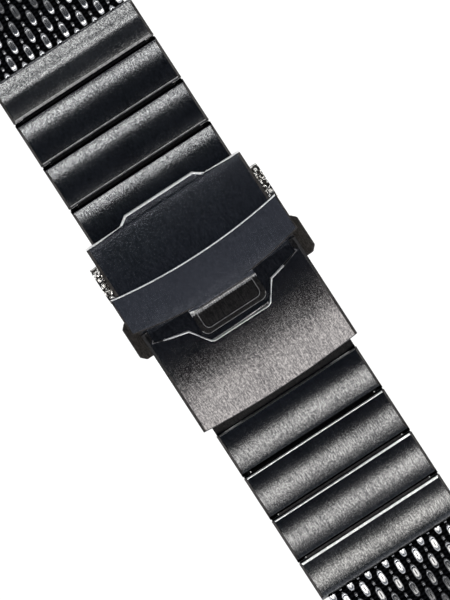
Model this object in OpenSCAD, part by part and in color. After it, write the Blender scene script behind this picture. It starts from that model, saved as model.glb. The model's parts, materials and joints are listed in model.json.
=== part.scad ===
// Mesh watch band, closed and laid flat: a folding clasp in the middle, three solid links and
// an end link on each side of it, and a woven wire mesh out to the watch on both ends.
// X runs along the band, Y across it and Z out of the wrist. The clasp cover's plain end and
// the lower half of the band lie towards +X, and the upper half lies towards -X.

/* [Band] */
// Width of the links and the mesh
band_w = 20; // [18:0.5:24]
// Thickness of a link at its crown
link_t = 3; // [2.8:0.1:3.6]
// Thickness of the mesh over its wires
mesh_t = 2.6; // [2.2:0.1:3]

/* [Links] */
// Length of a link from seam to seam
link_pitch = 6.1; // [5.6:0.1:8]
// Length of the end link that holds the mesh
end_link_len = 5.4; // [5:0.1:7]
// Rise of a link's rounded top above its edges
link_crown = 0.38; // [0.2:0.02:0.42]
// Half of the gap at a seam between two links
seam = 0.12; // [0.08:0.01:0.2]
// Distance of a link's highest line from its middle, towards the clasp
crown_lean = 1; // [0:0.1:1.2]
// The same on an end link, whose outer edge covers the mesh
end_lean = 0.5; // [0:0.1:0.6]
// Polished bevel along a link's edge on the clasp's side
link_bevel = 0.16; // [0.05:0.01:0.2]
// Rounding of a link's edge on the far side
edge_round = 0.45; // [0.2:0.05:0.6]
// Height of the hinge pins above the inner face
pin_z = 1.3; // [1.25:0.05:1.4]
// Radius of the hinge pins and the two bars at the clasp
pin_r = 0.5; // [0.4:0.05:0.55]
// Distance of a link's pin from its seam
pin_in = 1.35; // [1.3:0.05:1.6]
// Radius of the tongue round its pin
tongue_r = 0.8; // [0.75:0.05:0.85]
// Width of the two lugs beside a link's tongue
lug_w = 1.1; // [0.9:0.1:3]

/* [Mesh] */
// Distance between two rows of wire
row_pitch = 1.65; // [1.6:0.05:2]
// Distance from the upper end link's edge to the middle of the first full row
upper_row_in = 1.05; // [1:0.05:1.6]
// Distance from the lower end link's edge to the middle of the first full row
lower_row_in = 1.4; // [1:0.05:1.6]
// Distance between two crowns of one row
crown_pitch = 2.5; // [2:0.05:3]
// Length of a crown
crown_len = 1.8; // [1.4:0.05:1.9]
// Radius of the wire
wire_r = 0.42; // [0.3:0.02:0.5]
// Depth to which the crowns are rolled flat
roll_flat = 0.08; // [0.02:0.01:0.15]
// Thickness of the packed wires between the crowns
core_t = 1.2; // [0.8:0.1:1.4]
// Half of the gap between two stretches of mesh
mesh_gap = 0.15; // [0.12:0.01:0.25]

/* [Lug ends] */
// Radius of the hole for the watch's spring bar
lug_bore_r = 0.95; // [0.7:0.05:1]
// Outer radius of the lug tube
lug_tube_r = 1.3; // [1.25:0.05:1.6]

/* [Clasp cover] */
// Half length of the cover towards its lifting edge
cover_a = 12.74; // [12.5:0.05:13]
// Half length of the cover towards its plain end
cover_c = 13.3; // [13.3:0.05:14]
// Bow of the plain end beyond its corners
cover_bow = 0.5; // [0:0.05:0.6]
// Width of the cover
cover_w = 21.8; // [21.4:0.1:26]
// Height of the lower floor at the middle of the clasp
floor_z = 6.2; // [6:0.1:6.8]
// Radius of the cover's curve along the band
cover_r = 90; // [75:1:110]
// Thickness of the cover's plate
plate_t = 0.9; // [0.7:0.05:1]
// Bevel along the cover's long edges
cover_bevel = 0.35; // [0.1:0.05:0.4]
// Step from the floor up to the raised plate
step_t = 0.8; // [0.5:0.05:1]
// Thickness of the cover's side walls
wall_t = 1; // [0.8:0.05:1.2]
// Length of the lifting tab at the cover's edge
lift_tab = 0.93; // [0.5:0.05:1]
// Width of the lifting tab at its tip
lift_tab_w = 9.6; // [6:0.2:14]
// Width of the two rails beside the lock
rail_w = 0.9; // [0.6:0.05:1.2]
// Depth of the notch for the thumb tab, from the middle of the clasp
notch_x = 4.62; // [4.3:0.02:5.5]

/* [Flip lock] */
// Thickness of the strap over the cover
lock_t = 0.85; // [0.6:0.05:1]
// Bevel along the strap's ends
lock_bevel = 0.2; // [0.1:0.05:0.3]
// Clearance between the lock and the cover
lock_gap = 0.12; // [0.08:0.01:0.2]
// Distance of the strap's back edge from the middle of the clasp
lock_back = 5; // [4.5:0.1:5.4]
// Bow of the strap's back edge
back_bow = 0.98; // [0.4:0.02:1.1]
// Distance of the strap's front edge from the middle of the clasp
lock_front = 0.3; // [0.1:0.05:0.5]
// Bow of the strap's front edge
front_bow = 1.41; // [0.6:0.01:1.5]
// Reach of the thumb tab from the middle of the clasp
thumb_x = 3.8; // [3:0.1:4]
// Width of the thumb tab
thumb_w = 9; // [7:0.2:9.2]
// Thickness of the lock's wings and arms
wing_t = 0.72; // [0.6:0.02:0.9]
// Distance of the lock's pivot from the middle of the clasp
pivot_x = 8.8; // [8:0.1:9]
// Height of the lock's pivot
pivot_z = 3.8; // [3.4:0.1:3.9]
// Radius of the pivot's rivets
pivot_r = 0.6; // [0.5:0.05:0.7]
// Radius of the lock's arms round the pivot
arm_r = 1.6; // [1.5:0.05:1.8]

/* [Blades] */
// Width of the two folding blades
blade_w = 14; // [12:0.5:14.5]
// Thickness of a blade
blade_t = 0.95; // [0.8:0.05:1]
// Radius of the base blade's curve
blade_r = 38; // [36:1:44]
// Radius of a blade's hinge knuckle
knuckle_r = 1.1; // [1:0.05:1.15]
// Width of the middle knuckles
knuckle_w = 5.8; // [5:0.2:6.4]
// Radius of the rivet that holds the catch post
catch_rivet_r = 0.8; // [0.6:0.05:1]

/* [Push buttons] */
// Length of a button along the band
button_l = 5.2; // [4.4:0.1:5.4]
// Height of a button
button_h = 2.2; // [1.8:0.1:2.3]
// How far a button stands out of the cover
button_out = 1.55; // [1.2:0.05:1.8]
// How far a button can be pressed
button_travel = 0.7; // [0.5:0.05:0.8]
// Radius of the button's spring
spring_r = 0.55; // [0.4:0.05:0.6]

/* [Hidden] */
LINKS = 3;
STRETCHES = 7;
ROWS = 4;

STEEL = "#23262b";
BRIGHT = "#8f9298";
WIRE = "#2b2d31";

// Clearances that every fit shares
pin_run = 0.04;
pin_hold = 0.01;
side_run = 0.1;
tongue_run = 0.15;
// How far the ends of the mesh go into the pieces that hold them
braze_in = 0.9;
BIG = 60;
EPS = 0.01;

// Width of a link's tongue, which closes the seam from below
tongue_w = band_w - 2 * (lug_w + side_run);

// Where the chain of links meets the clasp
bar_a_x = -cover_a - 0.26;
bar_c_x = cover_c - 1.2;
upper_start = bar_a_x + pin_in;
lower_start = cover_c + 1.2;
first_reach = lower_start - bar_c_x;
mesh_upper = upper_start - LINKS * link_pitch - end_link_len;
mesh_lower = lower_start + LINKS * link_pitch + end_link_len;
lug_reach = lug_tube_r + braze_in;
upper_lug_x = mesh_upper - bend(STRETCHES, upper_row_in) - lug_reach;
lower_lug_x = mesh_lower + bend(STRETCHES, lower_row_in) + lug_reach;
band_end_upper = upper_lug_x - lug_tube_r;
band_end_lower = lower_lug_x + lug_tube_r;
// The origin is the middle of the whole band
shift = -(band_end_upper + band_end_lower) / 2;

// Heights in the clasp
cover_low = floor_z - cover_r;
top_r = cover_r + step_t;
under_r = cover_r - plate_t;
cover_half = cover_w / 2;
inner_half = cover_half - wall_t;
wall_low = 2.2;
wall_curve_r = 60;
blade_low = 1.64;
blade_lift = blade_low + blade_t + 0.35;
hinge_a_x = -cover_a + 2.74;
hinge_a_z = blade_lift - 0.25;
hinge_c_x = cover_c - 4;
hinge_c_z = blade_low;
blade_end = hinge_a_x - 1;

// Push buttons, catch and their sliders
button_x = -0.3;
button_z = floor_z - 2.2;
post_l = 3;
post_w = 5;
post_top = floor_z - plate_t - 0.55;
slide_z = blade_lift + blade_t + 0.15;
slide_t = 0.6;
slide_w = 0.7;
hook_gap = 0.15;
flange_t = 0.9;
flange_y = inner_half - side_run;
coil_wire = 0.12;
coil_turns = 5;
coil_solid = coil_turns * 2 * coil_wire;
seat_y = flange_y - flange_t - coil_solid - 2 * button_travel - 0.5;
seat_t = 0.8;

// Flip lock
wing_in = cover_half + side_run;
wing_out = wing_in + wing_t;
pad_t = 0.12;
thumb_round = 0.9;
// Room round the lock's pivot under the cover's plate
pivot_room = under_r - norm([pivot_x, pivot_z - cover_low]);

function arc_z(r, x) = cover_low + sqrt(r * r - x * x);

// Radius of an edge that bows by this much over a half width
function bow_r(half, bow) = half * half / (2 * bow) + bow / 2;

// Place of the strap's front edge at this distance from the middle
function front_edge(y) =
  let (r = bow_r(wing_out, front_bow)) lock_front - r + sqrt(r * r - y * y);

// Distance from an end link's edge to the end of its stretch of mesh with this number
function bend(i, row_in) = i == 0 ? 0 : row_in + (i * ROWS - 0.5) * row_pitch;

// Stands a flat outline up in the plane of X and Z and gives it a width along Y
module across(w) {
  rotate([90, 0, 0]) linear_extrude(w, center = true) children();
}

// The same, between two distances from the middle, on both sides
module both_sides(y0, y1) {
  for (s = [-1, 1]) translate([0, s * (y0 + y1) / 2, 0]) across(y1 - y0) children();
}

module rod(r, len) {
  rotate([90, 0, 0]) cylinder(r = r, h = len, center = true, $fn = 40);
}

module disc(x, z, r) {
  translate([x, z]) circle(r = r, $fn = 64);
}

// Curved plate between two radii round the cover's middle, with bevelled long edges
module curved_plate(r_low, r_high, half, bevel) {
  translate([0, 0, cover_low]) rotate([90, 0, 0]) rotate_extrude($fn = 240)
    polygon([
      [r_low, -half], [r_high - bevel, -half], [r_high, bevel - half], [r_high, half - bevel],
      [r_high - bevel, half], [r_low, half]
    ]);
}

// Top of a link with the clasp on its +X side: a rounded crown that leans towards the clasp, a
// polished bevel on that side and a rounded edge on the far side
module link_top(len, lean) {
  crown_r = len * len / (8 * link_crown) + link_crown / 2;
  middle = len / 2 + lean;
  function height(x) = link_t - crown_r + sqrt(crown_r * crown_r - (x - middle) * (x - middle));
  near_z = height(len - seam);
  far_z = height(seam);
  cut = edge_round * (1 - cos(45));
  intersection() {
    translate([middle, link_t - crown_r]) circle(r = crown_r, $fn = 120);
    polygon([
      [seam, 0], [len - seam, 0], [len - seam, near_z - link_bevel],
      [len - seam - link_bevel, near_z], [middle, link_t + 1],
      [seam + edge_round, height(seam + edge_round) + 0.05], [seam + cut, far_z - cut],
      [seam, far_z - edge_round]
    ]);
  }
}

// Side view of a link between its seams. The clasp is on the side given, 1 or -1.
module link_outline(len, lean, slot_end, clasp_side) {
  belly = 0.25;
  difference() {
    intersection() {
      translate([clasp_side > 0 ? 0 : len, 0])
        mirror([clasp_side > 0 ? 0 : 1, 0]) link_top(len, lean);
      polygon([[seam, belly], [seam + belly, 0], [len, 0], [len, BIG], [seam, BIG]]);
    }
    if (slot_end)
      difference() {
        translate([len - pin_in, -1]) square([pin_in + 1, pin_z + 1]);
        disc(len - pin_in, pin_z, pin_in - seam);
      }
  }
}

// Cuts the long side edges of a link back to a bevel
module side_bevel(len) {
  h = band_w / 2;
  c = 0.22;
  rotate([90, 0, 90]) linear_extrude(len)
    polygon([
      [-h + c, 0], [h - c, 0], [h, c], [h, link_t - link_crown - c], [h - c, link_t - link_crown],
      [h - c, link_t + 1], [-h + c, link_t + 1], [-h + c, link_t - link_crown],
      [-h, link_t - link_crown - c], [-h, c]
    ]);
}

module tongue(reach) {
  across(tongue_w) {
    disc(-reach, pin_z, tongue_r);
    translate([-reach, pin_z - tongue_r]) square([reach + 1, 2 * tongue_r]);
  }
}

// Slot for a neighbour's tongue, with the pin's hole through the lugs beside it
module slot_cut(len, ceiling) {
  translate([len - pin_in - tongue_r - tongue_run, -tongue_w / 2 - side_run, -1])
    cube([BIG, tongue_w + 2 * side_run, ceiling + 1]);
  translate([len - pin_in, 0, pin_z]) rod(pin_r + pin_hold, BIG);
}

// One link from seam to seam. Its tongue points to -X and its slot opens to +X.
module link(len, reach, has_tongue, has_slot, clasp_side) {
  color(STEEL)
  difference() {
    union() {
      intersection() {
        across(band_w)
          link_outline(len, has_tongue && has_slot ? crown_lean : end_lean, has_slot, clasp_side);
        side_bevel(len);
      }
      if (has_tongue) tongue(reach);
    }
    if (has_tongue) translate([-reach, 0, pin_z]) rod(pin_r + pin_run, BIG);
    if (has_slot) slot_cut(len, pin_z + tongue_r + tongue_run);
    if (!has_slot) mesh_pocket(len);
    if (!has_tongue) mesh_pocket(0);
  }
}

// Pocket that takes the packed wires at an end of the mesh, where they are brazed in
module mesh_pocket(x) {
  translate([x, 0, mesh_t / 2])
    cube([2 * (braze_in + 0.05), band_w - 1.5, core_t + 2 * pin_hold], center = true);
}

module link_pin() {
  color(BRIGHT) rod(pin_r, band_w - 0.5);
}

// One crown of wire, lying along X, with round ends
module crown_wire(y, z) {
  bar = crown_len / 2 - wire_r;
  translate([0, y, z]) rotate([0, 90, 0]) rotate_extrude($fn = 24) {
    translate([0, -bar]) square([wire_r, 2 * bar]);
    intersection() {
      translate([0, -bar - wire_r]) square([wire_r, 2 * (bar + wire_r)]);
      union() for (s = [-1, 1]) translate([0, s * bar]) circle(r = wire_r, $fn = 24);
    }
  }
}

// Crowns of one row. Every second row is moved across by half a pitch.
module row_crowns(middle) {
  half = band_w / 2 - wire_r - 0.05;
  start = middle ? 0 : crown_pitch / 2;
  count = floor((half - start) / crown_pitch);
  rise = wire_r - roll_flat;
  for (z = [rise, mesh_t - rise])
    for (s = [-1, 1], j = [0 : count])
      if (start + j > 0 || s > 0) crown_wire(s * (start + j * crown_pitch), z);
}

// A stretch of mesh, seen from the end link's edge at X 0: rows of crowns on both faces over
// the packed wires between them. The row before the first full one is half hidden in the edge.
module mesh_stretch(i, row_in, shift_rows) {
  low = i == 1 ? 0 : bend(i - 1, row_in) + mesh_gap;
  high = bend(i, row_in) - mesh_gap;
  first = i == 1 ? 0 : (i - 1) * ROWS + 1;
  core_low = (mesh_t - core_t) / 2;
  edge = i == 1 ? pin_run : low - crown_len;
  in_low = i == 1 ? -braze_in : low;
  in_high = i == STRETCHES ? high + mesh_gap + braze_in : high;
  color(WIRE)
  union() {
    intersection() {
      union() {
        for (n = [first : i * ROWS])
          translate([row_in + (n - 1) * row_pitch, 0, 0]) row_crowns((n + shift_rows) % 2 == 1);
        translate([low, -band_w / 2 + 0.2, core_low]) cube([high - low, band_w - 0.4, core_t]);
      }
      translate([edge, -BIG / 2, 0]) cube([high - edge + crown_len, BIG, mesh_t]);
    }
    translate([in_low, -band_w / 2 + 0.8, core_low])
      cube([in_high - in_low, band_w - 1.6, core_t]);
  }
}

module upper_mesh(i) {
  translate([shift + mesh_upper, 0, 0]) mirror([1, 0, 0]) mesh_stretch(i, upper_row_in, 1);
}

module lower_mesh(i) {
  translate([shift + mesh_lower, 0, 0]) mesh_stretch(i, lower_row_in, 0);
}

// Tube for the watch's spring bar, with the lip that grips the last row of mesh
module lug_tube(x, side) {
  lip = lug_reach - seam;
  color(STEEL) translate([shift + x, 0, 0])
  difference() {
    union() {
      translate([0, 0, lug_tube_r]) rod(lug_tube_r, band_w);
      translate([side > 0 ? -lip : 0, -band_w / 2, 0]) cube([lip, band_w, mesh_t]);
    }
    translate([0, 0, lug_tube_r]) rod(lug_bore_r, BIG);
    mesh_pocket(-side * lug_reach);
  }
}

// Plan view of the cover, with its lifting tab and its bowed plain end
module cover_plan() {
  tip = lift_tab_w / 2;
  root = tip + 1.3;
  intersection() {
    union() {
      translate([-cover_a, -cover_half]) square([cover_a + cover_c + 1, cover_w]);
      polygon([
        [-cover_a + 1, -root], [-cover_a, -root], [-cover_a - lift_tab, -tip],
        [-cover_a - lift_tab, tip], [-cover_a, root], [-cover_a + 1, root]
      ]);
    }
    translate([cover_c + cover_bow - bow_r(cover_half, cover_bow), 0])
      circle(r = bow_r(cover_half, cover_bow), $fn = 200);
  }
}

// Plan view of the raised plate: shoulders that run back to a rail on each side of the lock,
// and the notch for the lock's thumb tab, half of which is listed from its middle outwards
module raised_plan() {
  rail_y = cover_half - rail_w;
  rail_x = front_edge(rail_y) + lock_gap;
  shoulder_x = 1.04;
  mouth = [2.1, thumb_w / 2 + 1.25];
  corner = 0.17;
  end_y = mouth[1] - 1.65;
  half = [
    [notch_x, end_y - 2 * corner], [notch_x - corner, end_y], mouth,
    [shoulder_x, rail_y], [rail_x, rail_y], [rail_x, cover_half + 1], [BIG, cover_half + 1]
  ];
  last = len(half) - 1;
  polygon(concat(half, [for (k = [last : -1 : 0]) [half[k][0], -half[k][1]]]));
}

module cover() {
  lug_half = tongue_w / 2 + side_run;
  lug_r = cover_c - bar_c_x;
  wall_x = bar_a_x + pin_in + 0.4;
  color(STEEL) translate([shift, 0, 0])
  difference() {
    union() {
      intersection() {
        curved_plate(under_r, cover_r, cover_half, cover_bevel);
        linear_extrude(BIG) cover_plan();
      }
      intersection() {
        curved_plate(under_r, top_r, cover_half, cover_bevel);
        linear_extrude(BIG) cover_plan();
        linear_extrude(BIG) raised_plan();
      }
      // Side walls, which stop short of the upper link under the lifting edge
      intersection() {
        both_sides(inner_half, cover_half)
          difference() {
            intersection() {
              translate([0, cover_low]) circle(r = cover_r - plate_t / 2, $fn = 200);
              polygon([
                [-cover_a, link_t + 0.9], [wall_x, link_t + 0.4], [wall_x + 0.1, -1],
                [cover_c, -1], [cover_c, BIG], [-cover_a, BIG]
              ]);
            }
            translate([0, wall_low - wall_curve_r]) circle(r = wall_curve_r, $fn = 200);
          }
        linear_extrude(BIG) cover_plan();
      }
      // Lugs at the plain end, which carry the bar of the lower links
      both_sides(lug_half, cover_half) {
        disc(bar_c_x, pin_z, lug_r);
        translate([bar_c_x - lug_r, pin_z])
          square([2 * lug_r, arc_z(under_r, cover_c) - pin_z + 0.2]);
      }
      // Lugs under the lifting edge, which carry the pin of the inner blade
      both_sides(knuckle_w / 2 + side_run, blade_w / 2 - 0.4) {
        disc(hinge_a_x, hinge_a_z, knuckle_r);
        translate([hinge_a_x - knuckle_r, hinge_a_z])
          square([2 * knuckle_r, arc_z(under_r, hinge_a_x) - hinge_a_z + 0.3]);
      }
      // Seats of the two springs
      for (s = [-1, 1])
        translate([button_x - 0.9, s * (seat_y - seat_t / 2) - seat_t / 2, slide_z])
          cube([1.8, seat_t, arc_z(under_r, 0) - slide_z + 0.2]);
    }
    translate([bar_c_x, 0, pin_z]) rod(pin_r + pin_hold, BIG);
    translate([hinge_a_x, 0, hinge_a_z]) rod(pin_r + pin_hold, blade_w);
    translate([-pivot_x, 0, pivot_z]) rod(pivot_r + pin_hold, BIG);
    // Windows for the two push buttons
    for (s = [-1, 1]) translate([button_x, s * cover_half, button_z])
      cube([button_l + 2 * side_run, 2 * wall_t + 1, button_h + 2 * side_run], center = true);
  }
}

module cover_bar() {
  color(BRIGHT) translate([shift + bar_c_x, 0, pin_z]) rod(pin_r, cover_w - 0.4);
}

module base_bar() {
  color(BRIGHT) translate([shift + bar_a_x, 0, pin_z]) rod(pin_r, band_w - 0.5);
}

// Plan view of the strap, bowed towards the plain end, with its thumb tab
module lock_plan() {
  front_r = bow_r(wing_out, front_bow);
  back_r = bow_r(wing_out, back_bow);
  side = thumb_w / 2;
  difference() {
    intersection() {
      translate([-lock_back - back_bow - 1, -wing_out]) square([BIG, 2 * wing_out]);
      translate([lock_front - front_r, 0]) circle(r = front_r, $fn = 200);
    }
    translate([-lock_back - back_r, 0]) circle(r = back_r, $fn = 200);
  }
  translate([-1, -side]) square([1 + thumb_x - thumb_round, thumb_w]);
  translate([0, thumb_round - side]) square([thumb_x, thumb_w - 2 * thumb_round]);
  for (s = [-1, 1]) translate([thumb_x - thumb_round, s * (side - thumb_round)])
    circle(r = thumb_round, $fn = 32);
}

// Plan view of the dished middle of the thumb tab
module thumb_pocket() {
  r = 0.6;
  x0 = lock_front + 1;
  x1 = thumb_x - 1.3;
  y1 = thumb_w / 2 - 1.3;
  for (s = [-1, 1], x = [x0, x1]) translate([x, s * y1]) circle(r = r, $fn = 32);
  translate([x0, -y1 - r]) square([x1 - x0, 2 * (y1 + r)]);
  translate([x0 - r, -y1]) square([x1 - x0 + 2 * r, 2 * y1]);
}

module flip_lock() {
  low_r = cover_r + lock_gap;
  high_r = low_r + lock_t;
  wing_back = -lock_back - back_bow;
  wing_front = lock_front - front_bow;
  wing_low = wall_low + 0.7;
  over_button = button_z + button_h / 2 + 0.2;
  before_button = button_x - button_l / 2 - 0.2;
  nick = 0.25;
  color(STEEL) translate([shift, 0, 0])
  difference() {
    union() {
      intersection() {
        curved_plate(low_r, high_r, wing_out, lock_bevel);
        linear_extrude(BIG) lock_plan();
      }
      // Wings down the cover's sides, cut away over the push buttons
      both_sides(wing_in, wing_out)
        intersection() {
          translate([0, cover_low]) circle(r = high_r - lock_bevel, $fn = 200);
          polygon([
            [wing_back, wing_low], [before_button, wing_low], [before_button, over_button],
            [wing_front, over_button], [wing_front, BIG], [wing_back, BIG]
          ]);
        }
      // Arms back to the pivot, with a nick between their two polished pads
      both_sides(wing_in, wing_out + pad_t)
        difference() {
          union() {
            disc(-pivot_x, pivot_z, arm_r);
            translate([-pivot_x, pivot_z - 0.4 * arm_r])
              square([pivot_x + wing_back + 0.38, 1.4 * arm_r]);
          }
          translate([0.35 - pivot_x, pivot_z + arm_r - 0.3]) square([nick, 1]);
        }
    }
    translate([-pivot_x, 0, pivot_z]) rod(pivot_r + pin_run, BIG);
    intersection() {
      curved_plate(high_r - lock_t / 2, high_r + 1, thumb_w, EPS);
      linear_extrude(BIG) thumb_pocket();
    }
  }
}

// Two rivets, each with its head inside the cover's wall
module flip_lock_rivets() {
  head_t = 0.6;
  color(BRIGHT) translate([shift - pivot_x, 0, pivot_z])
  for (s = [-1, 1]) {
    translate([0, s * (inner_half - head_t / 2 - EPS), 0]) rod(pivot_room - side_run, head_t);
    translate([0, s * (inner_half + wing_out - EPS) / 2, 0])
      rod(pivot_r, wing_out - inner_half + EPS);
  }
}

// A push button: its cap in the wall's window, a flange behind the wall, and a slider that
// passes beside the catch post and hooks round its far side
module button(side) {
  arm_x = side > 0 ? button_x + post_l / 2 + 0.2 : button_x - post_l / 2 - 0.2 - slide_w;
  hook_y = post_w / 2 + hook_gap;
  hook_l = slide_w + post_l / 2 + 0.1;
  bevel = 0.9;
  color(STEEL) translate([shift, 0, 0]) scale([1, side, 1]) {
    difference() {
      translate([button_x - button_l / 2, flange_y - EPS, button_z - button_h / 2])
        cube([button_l, cover_half + button_out - flange_y + EPS, button_h]);
      for (s = [-1, 1])
        translate([button_x + s * button_l / 2, cover_half + button_out, button_z])
          rotate([0, 0, 45]) cube([bevel, bevel, BIG], center = true);
    }
    translate([button_x - button_l / 2 - 0.3, flange_y - flange_t, slide_z])
      cube([button_l + 0.6, flange_t, button_z + button_h / 2 - slide_z + 0.05]);
    translate([arm_x, -hook_y - slide_w, slide_z])
      cube([slide_w, hook_y + slide_w + flange_y - flange_t / 2, slide_t]);
    translate([side > 0 ? arm_x + slide_w - hook_l : arm_x, -hook_y - slide_w, slide_z])
      cube([hook_l, slide_w, slide_t]);
  }
}

module button_left() {
  button(1);
}

module button_right() {
  button(-1);
}

// Points round one ring of a wire tube that climbs as a helix along Y
function spring_ring(t, r, w, pitch, sides) = [
  for (k = [0 : sides - 1])
    let (a = 360 * k / sides, d = r + w * cos(a))
    [d * cos(t), pitch * t / 360 + w * sin(a), d * sin(t)]
];

// A coil spring as one closed tube
module coil(r, w, len, turns) {
  sides = 6;
  per_turn = 8;
  rings = turns * per_turn;
  pitch = (len - 2 * w) / turns;
  pts = [for (n = [0 : rings]) each spring_ring(n * 360 / per_turn, r, w, pitch, sides)];
  skin = [
    for (n = [0 : rings - 1], k = [0 : sides - 1])
      let (a = n * sides + k, b = n * sides + (k + 1) % sides)
      each [[a, b, a + sides], [b, b + sides, a + sides]]
  ];
  low_cap = [[for (k = [sides - 1 : -1 : 0]) k]];
  high_cap = [[for (k = [0 : sides - 1]) rings * sides + k]];
  translate([0, w, 0]) polyhedron(pts, concat(skin, low_cap, high_cap));
}

module button_spring(side) {
  gap = 0.03;
  room = flange_y - flange_t - seat_y - 2 * gap;
  color(BRIGHT)
  translate([shift + button_x, side * (seat_y + gap), slide_z + spring_r + 0.14])
    rotate([0, 0, side > 0 ? 0 : 180]) coil(spring_r - coil_wire, coil_wire, room, coil_turns);
}

module spring_left() {
  button_spring(1);
}

module spring_right() {
  button_spring(-1);
}

// Side view of a curved blade between two distances along the band
module blade_outline(low, r, x0, x1) {
  intersection() {
    difference() {
      translate([0, low - r]) circle(r = r + blade_t, $fn = 200);
      translate([0, low - r]) circle(r = r, $fn = 200);
    }
    translate([x0, -5]) square([x1 - x0, 20]);
  }
}

// The base blade: a tongue for the upper links, a curved strap and two outer knuckles
module base_blade() {
  mid = knuckle_w / 2 + side_run;
  neck_top = pin_z + tongue_r;
  color(STEEL) translate([shift, 0, 0])
  difference() {
    union() {
      across(blade_w) blade_outline(blade_low, blade_r, blade_end, hinge_c_x);
      both_sides(mid, blade_w / 2) disc(hinge_c_x, hinge_c_z, knuckle_r);
      across(tongue_w) disc(bar_a_x, pin_z, tongue_r);
      across(blade_w)
        polygon([
          [bar_a_x, neck_top], [bar_a_x + tongue_r, neck_top], [blade_end - 0.3, 1.2],
          [blade_end + 0.3, 1], [blade_end + 0.3, 0.1], [bar_a_x, pin_z - tongue_r]
        ]);
    }
    translate([hinge_c_x - knuckle_r - tongue_run, -mid, -1]) cube([BIG, 2 * mid, BIG]);
    translate([hinge_c_x, 0, hinge_c_z]) rod(pin_r + pin_hold, BIG);
    translate([bar_a_x, 0, pin_z]) rod(pin_r + pin_run, BIG);
    translate([button_x, 0, -1]) cylinder(r = catch_rivet_r + pin_hold, h = 5, $fn = 40);
  }
}

// The catch on the base blade, riveted through it
module catch_post() {
  seat = blade_low + blade_t + pin_hold;
  color(BRIGHT) translate([shift + button_x, 0, 0]) {
    translate([-post_l / 2, -post_w / 2, seat]) cube([post_l, post_w, post_top - seat]);
    translate([0, 0, blade_low])
      cylinder(r = catch_rivet_r, h = seat - blade_low + EPS, $fn = 40);
  }
}

// The inner blade: a middle knuckle at each end and a window over the catch
module inner_blade() {
  clear = 0.6;
  keep = knuckle_r + tongue_run;
  color(STEEL) translate([shift, 0, 0])
  difference() {
    union() {
      across(blade_w)
        blade_outline(blade_lift, blade_r + 2, hinge_a_x + keep, hinge_c_x - keep);
      across(knuckle_w) {
        blade_outline(blade_lift, blade_r + 2, hinge_a_x, hinge_c_x);
        disc(hinge_a_x, hinge_a_z, knuckle_r);
        disc(hinge_c_x, hinge_c_z, knuckle_r);
      }
    }
    translate([hinge_a_x, 0, hinge_a_z]) rod(pin_r + pin_run, BIG);
    translate([hinge_c_x, 0, hinge_c_z]) rod(pin_r + pin_run, BIG);
    translate([button_x, 0, blade_lift])
      cube([post_l + 2 * clear, post_w + 2 * clear, 10], center = true);
  }
}

module cover_hinge_pin() {
  color(BRIGHT) translate([shift + hinge_a_x, 0, hinge_a_z]) rod(pin_r, blade_w - 1);
}

module base_hinge_pin() {
  color(BRIGHT) translate([shift + hinge_c_x, 0, hinge_c_z]) rod(pin_r, blade_w - 0.2);
}

module upper_link(i) {
  translate([shift + upper_start - i * link_pitch, 0, 0]) link(link_pitch, pin_in, true, true, 1);
}

module upper_end_link() {
  translate([shift + mesh_upper, 0, 0]) link(end_link_len, pin_in, false, true, 1);
}

module lower_link(i) {
  reach = i == 1 ? first_reach : pin_in;
  translate([shift + lower_start + (i - 1) * link_pitch, 0, 0])
    link(link_pitch, reach, true, true, -1);
}

module lower_end_link() {
  translate([shift + mesh_lower - end_link_len, 0, 0]) link(end_link_len, pin_in, true, false, -1);
}

module upper_pin(i) {
  translate([shift + upper_start - i * link_pitch - pin_in, 0, pin_z]) link_pin();
}

module lower_pin(i) {
  translate([shift + lower_start + i * link_pitch - pin_in, 0, pin_z]) link_pin();
}

module upper_lug_tube() {
  lug_tube(upper_lug_x, -1);
}

module lower_lug_tube() {
  lug_tube(lower_lug_x, 1);
}

cover();
cover_bar();
flip_lock();
flip_lock_rivets();
button_left();
button_right();
spring_left();
spring_right();
base_blade();
catch_post();
base_bar();
inner_blade();
cover_hinge_pin();
base_hinge_pin();
upper_link(1);  // upper_link_1
upper_link(2);  // upper_link_2
upper_link(3);  // upper_link_3
upper_end_link();
upper_pin(1);  // upper_pin_1
upper_pin(2);  // upper_pin_2
upper_pin(3);  // upper_pin_3
lower_link(1);  // lower_link_1
lower_link(2);  // lower_link_2
lower_link(3);  // lower_link_3
lower_end_link();
lower_pin(1);  // lower_pin_1
lower_pin(2);  // lower_pin_2
lower_pin(3);  // lower_pin_3
upper_mesh(1);  // upper_mesh_1
upper_mesh(2);  // upper_mesh_2
upper_mesh(3);  // upper_mesh_3
upper_mesh(4);  // upper_mesh_4
upper_mesh(5);  // upper_mesh_5
upper_mesh(6);  // upper_mesh_6
upper_mesh(7);  // upper_mesh_7
upper_lug_tube();
lower_mesh(1);  // lower_mesh_1
lower_mesh(2);  // lower_mesh_2
lower_mesh(3);  // lower_mesh_3
lower_mesh(4);  // lower_mesh_4
lower_mesh(5);  // lower_mesh_5
lower_mesh(6);  // lower_mesh_6
lower_mesh(7);  // lower_mesh_7
lower_lug_tube();
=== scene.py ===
import json
import math

import bmesh
import bpy
from mathutils import Matrix, Vector

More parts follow.
